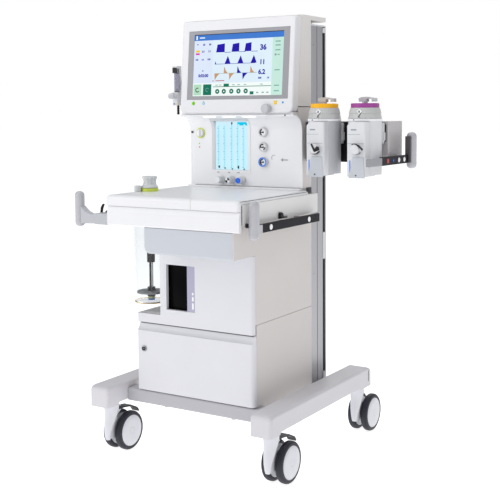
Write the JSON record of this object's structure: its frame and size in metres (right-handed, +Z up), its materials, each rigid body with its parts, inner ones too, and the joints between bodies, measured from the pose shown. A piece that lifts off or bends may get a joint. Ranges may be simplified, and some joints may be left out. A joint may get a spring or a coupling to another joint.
{
  "type": "anaesthesia machine",
  "caption": "Anaesthesia machine on a caster trolley with a screen, gas panel, vaporizers, absorber canister, drawer and side rails.",
  "frame": {"origin": "on the floor under the middle of the bounding box of the whole machine", "axes": "-Y is the front with the screen and drawer, +X is to the right of someone facing that front and has the vaporizers, +Z is up"},
  "size_m": [0.9654, 0.7624, 1.386],
  "materials": {
    "warm_white_paint": "satin warm white powder coat",
    "white_paint": "satin white powder coat",
    "grey_paint": "satin mid-grey powder coat",
    "black_paint": "semi-gloss black paint",
    "cool_grey_plastic": "matt very light cool grey moulded plastic",
    "white_plastic": "satin white moulded plastic",
    "warm_white_plastic": "matt warm white moulded plastic",
    "light_plastic": "matt light grey plastic",
    "grey_plastic": "matt mid-grey plastic",
    "black_plastic": "matt black plastic",
    "blue_plastic": "glossy blue plastic",
    "yellow_plastic": "matt plastic with a yellow ring",
    "purple_plastic": "matt plastic with a purple ring",
    "tyre": "matt dark polyurethane tread",
    "aluminium": "satin anodised extrusion",
    "plated_steel": "bright nickel plate",
    "brass": "turned brass",
    "clear_plastic": "clear moulded plastic"
  },
  "bodies": {
    "machine": {"aux_flowmeter": "light_plastic", "back_panels": "warm_white_paint", "base_crossbeams": "grey_paint", "base_legs": "warm_white_paint", "breathing_block": "grey_plastic", "breathing_cover": "white_plastic", "breathing_housing": "cool_grey_plastic", "cabinet_modules": "black_plastic", "canister_insert": "black_plastic", "column_fittings": "light_plastic", "columns": "aluminium", "flow_window": "white_plastic", "front_fascia": "cool_grey_plastic", "gas_panel": "cool_grey_plastic", "handle_arms": "grey_paint", "handle_grips": "light_plastic", "lower_cabinet": "white_paint", "monitor_back": "warm_white_plastic", "monitor_front": "white_plastic", "pressure_gauges": "black_plastic", "rear_connectors": "brass", "screen": "black_plastic", "side_panels": "warm_white_paint", "side_rails": "black_paint", "table_frame": "warm_white_plastic", "table_top": "white_plastic", "vaporizer_bodies": "white_paint", "vaporizer_manifold": "warm_white_paint", "ventilator_cabinet": "white_paint"},
    "drawer": {"drawer_front": "cool_grey_plastic", "drawer_box": "grey_paint"},
    "drawer_lock": {"drawer_lock": "plated_steel"},
    "writing_tray": {"writing_tray": "white_plastic"},
    "canister": {"absorber_canister": "clear_plastic"},
    "apl_knob": {"apl_knob": "grey_plastic"},
    "bag_selector": {"bag_selector": "grey_plastic"},
    "flow_knob_oxygen": {"flow_knob_oxygen": "white_plastic"},
    "flow_knob_air": {"flow_knob_air": "black_plastic"},
    "flow_knob_nitrous": {"flow_knob_nitrous": "blue_plastic"},
    "aux_flow_knob": {"aux_flow_knob": "light_plastic"},
    "main_switch": {"main_switch": "light_plastic"},
    "monitor_knob": {"monitor_knob": "grey_plastic"},
    "dial_yellow": {"vaporizer_dial_yellow": "yellow_plastic"},
    "dial_purple": {"vaporizer_dial_purple": "purple_plastic"},
    "lever_yellow": {"vaporizer_lever_yellow": "light_plastic"},
    "lever_purple": {"vaporizer_lever_purple": "light_plastic"},
    "caster_front_left": {"caster_fork_front_left": "white_plastic"},
    "wheel_front_left": {"caster_tyres_front_left": "tyre", "caster_discs_front_left": "light_plastic"},
    "caster_front_right": {"caster_fork_front_right": "white_plastic"},
    "wheel_front_right": {"caster_tyres_front_right": "tyre", "caster_discs_front_right": "light_plastic"},
    "caster_rear_left": {"caster_fork_rear_left": "white_plastic"},
    "wheel_rear_left": {"caster_tyres_rear_left": "tyre", "caster_discs_rear_left": "light_plastic"},
    "caster_rear_right": {"caster_fork_rear_right": "white_plastic"},
    "wheel_rear_right": {"caster_tyres_rear_right": "tyre", "caster_discs_rear_right": "light_plastic"},
    "brake_pedal_left": {"brake_pedal_front_left": "black_plastic"},
    "brake_pedal_right": {"brake_pedal_front_right": "black_plastic"}
  },
  "joints": [
    {"name": "drawer_slide", "type": "slide", "parent": "machine", "child": "drawer", "axis": [0, -1, 0], "range_m": [0, 0.28]},
    {"name": "drawer_lock_turn", "type": "hinge", "parent": "drawer", "child": "drawer_lock", "pos_m": [-0.25275, -0.27125, 0.344], "axis": [0, -1, 0], "range_deg": [0, 90]},
    {"name": "writing_tray_slide", "type": "slide", "parent": "machine", "child": "writing_tray", "axis": [0, -1, 0], "range_m": [0, 0.22]},
    {"name": "canister_twist", "type": "hinge", "parent": "machine", "child": "canister", "pos_m": [-0.25925, -0.22125, 0.6], "axis": [0, 0, 1], "range_deg": [0, 30]},
    {"name": "apl_turn", "type": "hinge", "parent": "machine", "child": "apl_knob", "pos_m": [-0.27025, -0.20725, 0.85], "axis": [0, 0, 1], "range_deg": [0, 270]},
    {"name": "bag_selector_turn", "type": "hinge", "parent": "machine", "child": "bag_selector", "pos_m": [-0.29425, -0.23825, 0.845], "axis": [0, 0, 1], "range_deg": [0, 90]},
    {"name": "flow_oxygen_turn", "type": "hinge", "parent": "machine", "child": "flow_knob_oxygen", "pos_m": [-0.15075, 0.00875, 0.862], "axis": [0, -1, 0], "range_deg": [0, 540]},
    {"name": "flow_air_turn", "type": "hinge", "parent": "machine", "child": "flow_knob_air", "pos_m": [-0.11075, 0.00875, 0.862], "axis": [0, -1, 0], "range_deg": [0, 540]},
    {"name": "flow_nitrous_turn", "type": "hinge", "parent": "machine", "child": "flow_knob_nitrous", "pos_m": [-0.07075, 0.00875, 0.862], "axis": [0, -1, 0], "range_deg": [0, 540]},
    {"name": "aux_flow_turn", "type": "hinge", "parent": "machine", "child": "aux_flow_knob", "pos_m": [-0.30175, -0.03125, 1.138], "axis": [0, -1, 0], "range_deg": [0, 540]},
    {"name": "main_switch_turn", "type": "hinge", "parent": "machine", "child": "main_switch", "pos_m": [-0.23375, 0.02375, 1.015], "axis": [0, 1, 0], "range_deg": [0, 90]},
    {"name": "monitor_knob_turn", "type": "hinge", "parent": "machine", "child": "monitor_knob", "pos_m": [0.06075, -0.03209, 1.09295], "axis": [0, -0.996, 0.0889], "continuous": true},
    {"name": "vaporizer_dial_yellow_turn", "type": "hinge", "parent": "machine", "child": "dial_yellow", "pos_m": [0.25025, -0.00925, 1.08], "axis": [0, 0, -1], "range_deg": [0, 270]},
    {"name": "vaporizer_lever_yellow_turn", "type": "hinge", "parent": "machine", "child": "lever_yellow", "pos_m": [0.25025, -0.00925, 1.12], "axis": [0, 0, 1], "range_deg": [0, 35]},
    {"name": "vaporizer_dial_purple_turn", "type": "hinge", "parent": "machine", "child": "dial_purple", "pos_m": [0.38625, -0.00925, 1.08], "axis": [0, 0, -1], "range_deg": [0, 270]},
    {"name": "vaporizer_lever_purple_turn", "type": "hinge", "parent": "machine", "child": "lever_purple", "pos_m": [0.38625, -0.00925, 1.12], "axis": [0, 0, 1], "range_deg": [0, 35]},
    {"name": "swivel_front_left", "type": "hinge", "parent": "machine", "child": "caster_front_left", "pos_m": [-0.35975, -0.30825, 0.155], "axis": [0, 0, 1], "continuous": true},
    {"name": "roll_front_left", "type": "hinge", "parent": "caster_front_left", "child": "wheel_front_left", "pos_m": [-0.35975, -0.25025, 0.0625], "axis": [1, 0, 0], "continuous": true},
    {"name": "swivel_front_right", "type": "hinge", "parent": "machine", "child": "caster_front_right", "pos_m": [0.23125, -0.30825, 0.155], "axis": [0, 0, 1], "continuous": true},
    {"name": "roll_front_right", "type": "hinge", "parent": "caster_front_right", "child": "wheel_front_right", "pos_m": [0.23125, -0.25025, 0.0625], "axis": [1, 0, 0], "continuous": true},
    {"name": "swivel_rear_left", "type": "hinge", "parent": "machine", "child": "caster_rear_left", "pos_m": [-0.35975, 0.26075, 0.155], "axis": [0, 0, 1], "continuous": true},
    {"name": "roll_rear_left", "type": "hinge", "parent": "caster_rear_left", "child": "wheel_rear_left", "pos_m": [-0.35975, 0.31875, 0.0625], "axis": [1, 0, 0], "continuous": true},
    {"name": "swivel_rear_right", "type": "hinge", "parent": "machine", "child": "caster_rear_right", "pos_m": [0.23125, 0.26075, 0.155], "axis": [0, 0, 1], "continuous": true},
    {"name": "roll_rear_right", "type": "hinge", "parent": "caster_rear_right", "child": "wheel_rear_right", "pos_m": [0.23125, 0.31875, 0.0625], "axis": [1, 0, 0], "continuous": true},
    {"name": "brake_left_press", "type": "hinge", "parent": "caster_front_left", "child": "brake_pedal_left", "pos_m": [-0.35975, -0.27725, 0.142], "axis": [-1, 0, 0], "range_deg": [0, 8]},
    {"name": "brake_right_press", "type": "hinge", "parent": "caster_front_right", "child": "brake_pedal_right", "pos_m": [0.23125, -0.27725, 0.142], "axis": [-1, 0, 0], "range_deg": [0, 8]}
  ]
}
